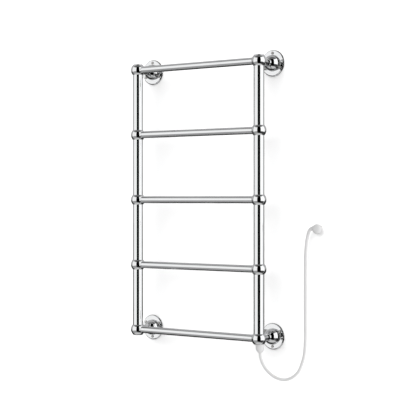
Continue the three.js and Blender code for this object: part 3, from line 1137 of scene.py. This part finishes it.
class Sums:
    """Arithmetic with shader nodes; each method gives the socket that holds its result."""

    def __init__(self, tree: bpy.types.NodeTree) -> None:
        """Work in a node tree."""
        self.tree = tree

    def node(self, kind: str) -> bpy.types.Node:
        """A new node of a kind."""
        return self.tree.nodes.new(kind)

    def feed(self, socket: bpy.types.NodeSocket, value: bpy.types.NodeSocket | float) -> None:
        """Give an input a number or another node's result."""
        if isinstance(value, bpy.types.NodeSocket):
            self.tree.links.new(value, socket)
        else:
            socket.default_value = value

    def math(self, operation: str, *values: bpy.types.NodeSocket | float) -> bpy.types.NodeSocket:
        """The result of a Math node."""
        node = self.node("ShaderNodeMath")
        node.operation = operation
        for socket, value in zip(node.inputs, values):
            self.feed(socket, value)
        return node.outputs[0]

    def degrees(self, angle: bpy.types.NodeSocket) -> bpy.types.NodeSocket:
        """An angle in degrees."""
        return self.math("DEGREES", angle)

    def dot(self, vector: bpy.types.NodeSocket, fixed: np.ndarray) -> bpy.types.NodeSocket:
        """The dot product with a fixed vector."""
        node = self.node("ShaderNodeVectorMath")
        node.operation = "DOT_PRODUCT"
        self.feed(node.inputs[0], vector)
        self.feed(node.inputs[1], fixed)
        return node.outputs["Value"]

    def ramp(
        self, value: bpy.types.NodeSocket, start: float, end: float, low: float = 0, high: float = 1
    ) -> bpy.types.NodeSocket:
        """A smooth step from low at start to high at end."""
        node = self.node("ShaderNodeMapRange")
        node.interpolation_type = "SMOOTHSTEP"
        for socket, number in zip(node.inputs, (value, start, end, low, high)):
            self.feed(socket, number)
        return node.outputs[0]

    def mix(
        self,
        share: bpy.types.NodeSocket | float,
        first: bpy.types.NodeSocket | float,
        second: bpy.types.NodeSocket | float,
    ) -> bpy.types.NodeSocket:
        """The first value where share is 0, and the second where it is 1."""
        node = self.node("ShaderNodeMix")
        node.data_type = "FLOAT"
        for name, value in (("Factor", share), ("A", first), ("B", second)):
            self.feed(node.inputs[name], value)
        return node.outputs[0]


# --- The studio ------------------------------------------------------------------------------


@dataclass
class Studio:
    """Camera, pale wall and floor, soft light and what the chrome reflects.

    Attributes:
        eye: the camera's place.
        turn: the angle that the camera looks away from straight at the wall, in degrees.
        lens, sensor: focal length and sensor width, in mm.
        shift: vertical shift of the picture, in picture widths.
        far_limit: how far the camera sees.
        floor_height: height of the floor.
        wall_size: width of the wall.
        wall_gap: from the flanges' backs to the wall.
        pale: colour of the wall and the floor.
        sun_from, sun_strength, sun_angle: the grazing sun's direction, strength and breadth.
        fill_turn, fill_left, fill_right: the even light on matt surfaces, from left to right.
        card_half, card_low, card_high: the dark card's half width, depth and height.
        panel_edge: the turn at which the bright panel ends, on either side.
        panel_low, panel_high_left, panel_high_right: the rise at which it starts and ends.
        panel_middle: the turn over which its top changes from left to right.
        bright_turn, bright_left, bright_right: its brightness, from left to right.
        grey_level: the rise at which the grey below the panel gives way to the grey above.
        grey_above_turn, grey_above: the grey above it, ahead and to the side.
        grey_below_turn, grey_below: the grey below it, from left to right.
        low_rise, low_light: the lighter floor straight below.
        behind_edge, behind_rise, behind: where the half behind starts, and its greys from low
            to high.
    """

    eye: tuple[float, float, float] = (2.217, -3.208, 0.0)
    turn: float = 34.8
    lens: float = 101.9
    sensor: float = 36
    shift: float = -0.01995
    far_limit: float = 60
    floor_height: float = -1.0
    wall_size: float = 9.0
    wall_gap: float = 0.4 * MM
    pale: tuple[float, float, float] = (0.9, 0.9, 0.9)
    sun_from: tuple[float, float, float] = (-0.4, -0.5, 0.77)
    sun_strength: float = 4.2
    sun_angle: float = 85.0
    fill_turn: tuple[float, float] = (-70.0, 70.0)
    fill_left: float = 0.60
    fill_right: float = 1.50
    card_half: float = 1.97
    card_low: float = 3.5
    card_high: float = 5.6
    panel_edge: tuple[float, float] = (96.0, 104.0)
    panel_low: tuple[float, float] = (-20.0, -14.0)
    panel_high_left: tuple[float, float] = (36.0, 42.0)
    panel_high_right: tuple[float, float] = (44.0, 50.0)
    panel_middle: tuple[float, float] = (-10.0, 10.0)
    bright_turn: tuple[float, float] = (-20.0, 20.0)
    bright_left: float = 0.95
    bright_right: float = 1.15
    grey_level: tuple[float, float] = (-6.0, 4.0)
    grey_above_turn: tuple[float, float] = (50.0, 100.0)
    grey_above: tuple[float, float] = (0.13, 0.27)
    grey_below_turn: tuple[float, float] = (-30.0, 30.0)
    grey_below: tuple[float, float] = (0.34, 0.05)
    low_rise: tuple[float, float] = (-56.0, -46.0)
    low_light: float = 0.58
    behind_edge: tuple[float, float] = (98.0, 110.0)
    behind_rise: tuple[float, float] = (-10.0, 3.0)
    behind: tuple[float, float] = (0.04, 0.42)

    def camera(self) -> None:
        """Place the camera, level, at the eye."""
        data = bpy.data.cameras.new("camera")
        data.lens = self.lens
        data.sensor_width = self.sensor
        data.shift_y = self.shift
        data.clip_end = self.far_limit
        camera = bpy.data.objects.new("camera", data)
        camera.location = self.eye
        camera.rotation_euler = (math.pi / 2, 0, math.radians(self.turn))
        bpy.context.scene.collection.objects.link(camera)
        bpy.context.scene.camera = camera

    def matt(self, name: str, colour: tuple[float, float, float]) -> bpy.types.Material:
        """A material of one colour with no shine."""
        material = bpy.data.materials.new(name)
        material.use_nodes = True
        shader = material.node_tree.nodes["Principled BSDF"]
        shader.inputs["Specular IOR Level"].default_value = 0.0
        shader.inputs["Base Color"].default_value = (*colour, 1)
        return material

    def sheet(self, name: str, corners: np.ndarray, see_through_back: bool) -> None:
        """A flat pale surface that catches soft shadows, unseen by the chrome.

        Args:
            name: its name.
            corners: its four corners, anticlockwise from its front.
            see_through_back: whether it vanishes when looked at from behind.
        """
        sheet = new_object(name, corners, [(0, 1, 2, 3)])
        material = self.matt(name, self.pale)
        nodes, links = material.node_tree.nodes, material.node_tree.links
        shader = nodes["Principled BSDF"]
        shader.inputs["Roughness"].default_value = 0.9
        if see_through_back:
            side = nodes.new("ShaderNodeNewGeometry")
            clear = nodes.new("ShaderNodeBsdfTransparent")
            mix = nodes.new("ShaderNodeMixShader")
            links.new(side.outputs["Backfacing"], mix.inputs["Fac"])
            links.new(shader.outputs["BSDF"], mix.inputs[1])
            links.new(clear.outputs["BSDF"], mix.inputs[2])
            links.new(mix.outputs["Shader"], nodes["Material Output"].inputs["Surface"])
        sheet.data.materials.append(material)
        sheet.visible_glossy = sheet.visible_diffuse = False

    def wall_and_floor(self) -> None:
        """The wall that the rack hangs on, and the floor under it."""
        reach, low, back = self.wall_size / 2, self.floor_height, self.wall_gap
        wall = [(-reach, back, low), (reach, back, low), (reach, back, reach), (-reach, back, reach)]
        floor = [(-reach, -reach, low), (reach, -reach, low), (reach, reach, low), (-reach, reach, low)]
        self.sheet("wall", np.array(wall), see_through_back=True)
        self.sheet("floor", np.array(floor), see_through_back=False)

    def ahead(self) -> tuple[np.ndarray, np.ndarray]:
        """Level unit directions from the rack to the camera and to the camera's right."""
        level = math.hypot(self.eye[0], self.eye[1])
        ahead = np.array([self.eye[0] / level, self.eye[1] / level, 0])
        return ahead, np.array([-ahead[1], ahead[0], 0])

    def grazing_sun(self) -> None:
        """A broad sun that lights only the wall and the floor, so that they stay pale."""
        data = bpy.data.lights.new("grazing_sun", "SUN")
        data.energy = self.sun_strength
        data.angle = math.radians(self.sun_angle)
        light = bpy.data.objects.new("grazing_sun", data)
        light.rotation_euler = Vector(self.sun_from).to_track_quat("Z", "Y").to_euler()
        light.visible_glossy = False
        receivers = bpy.data.collections.new("pale_surfaces")
        for name in ("wall", "floor"):
            receivers.objects.link(bpy.data.objects[name])
        light.light_linking.receiver_collection = receivers
        bpy.context.scene.collection.objects.link(light)

    def dark_card(self) -> None:
        """The tall dark card at the camera, which only the chrome sees."""
        ahead, right = self.ahead()
        middle = np.array(self.eye)
        down, up = np.array([[0, 0, -self.card_low], [0, 0, self.card_high]])
        side = self.card_half * right
        corners = [middle - side + down, middle + side + down, middle + side + up, middle - side + up]
        card = new_object("dark_card", np.array(corners), [(0, 1, 2, 3)])
        card.data.materials.append(self.matt("dark_card", (0, 0, 0)))
        card.visible_camera = card.visible_diffuse = card.visible_shadow = False

    def surroundings(self) -> None:
        """What the chrome reflects, and the even light from all round.

        A direction's turn is its angle to the right of the camera's direction, from the rack, and
        its rise is its angle above level. The front half is a broad bright panel, greyer above
        and darker below it, and the floor is lighter straight below. Light on matt surfaces comes
        more from the right than from the left.
        """
        world = bpy.data.worlds.new("studio")
        bpy.context.scene.world = world
        world.use_nodes = True
        sums = Sums(world.node_tree)
        ahead, right = self.ahead()
        direction = sums.node("ShaderNodeTexCoord").outputs["Generated"]
        split = sums.node("ShaderNodeSeparateXYZ")
        sums.tree.links.new(direction, split.inputs[0])
        rise = sums.degrees(sums.math("ARCSINE", split.outputs["Z"]))
        turn = sums.degrees(sums.math("ARCTAN2", sums.dot(direction, right), sums.dot(direction, ahead)))
        wide = sums.math("ABSOLUTE", turn)

        above = sums.ramp(wide, *self.grey_above_turn, *self.grey_above)
        below = sums.mix(sums.ramp(turn, *self.grey_below_turn), *self.grey_below)
        below = sums.mix(sums.ramp(rise, *self.low_rise, 1, 0), below, self.low_light)
        grey = sums.mix(sums.ramp(rise, *self.grey_level), below, above)
        panel = sums.ramp(turn, *self.bright_turn, self.bright_left, self.bright_right)
        across = sums.ramp(wide, *self.panel_edge, 1, 0)
        lit = sums.math("MULTIPLY", across, sums.ramp(rise, *self.panel_low))
        top = [sums.ramp(rise, *edge, 1, 0) for edge in (self.panel_high_left, self.panel_high_right)]
        lit = sums.math("MULTIPLY", lit, sums.mix(sums.ramp(turn, *self.panel_middle), *top))
        seen = sums.mix(lit, grey, panel)
        behind = sums.ramp(rise, *self.behind_rise, *self.behind)
        seen = sums.mix(sums.ramp(wide, *self.behind_edge), seen, behind)

        ray = sums.node("ShaderNodeLightPath")
        fill = sums.ramp(turn, *self.fill_turn, self.fill_left, self.fill_right)
        strength = sums.mix(ray.outputs["Is Glossy Ray"], fill, seen)
        strength = sums.mix(ray.outputs["Is Camera Ray"], strength, 1.0)
        background = world.node_tree.nodes["Background"]
        background.inputs["Color"].default_value = (1, 1, 1, 1)
        sums.tree.links.new(strength, background.inputs["Strength"])

    def build(self) -> None:
        """Everything round the rack except the camera, which comes first."""
        self.wall_and_floor()
        self.grazing_sun()
        self.dark_card()
        self.surroundings()
        bpy.context.scene.view_settings.view_transform = "Standard"


# --- The whole rack --------------------------------------------------------------------------


def main() -> None:
    """Build the studio and the rack."""
    logging.basicConfig(level=logging.INFO, format="%(name)s: %(message)s")
    studio, shop, ladder = Studio(), Workshop(), Ladder()
    studio.camera()
    PowerLead().build(shop)
    ladder.build(shop)
    WallMounting().build(shop, ladder)
    Heater().build(shop)
    studio.build()


if __name__ == "__main__":
    main()
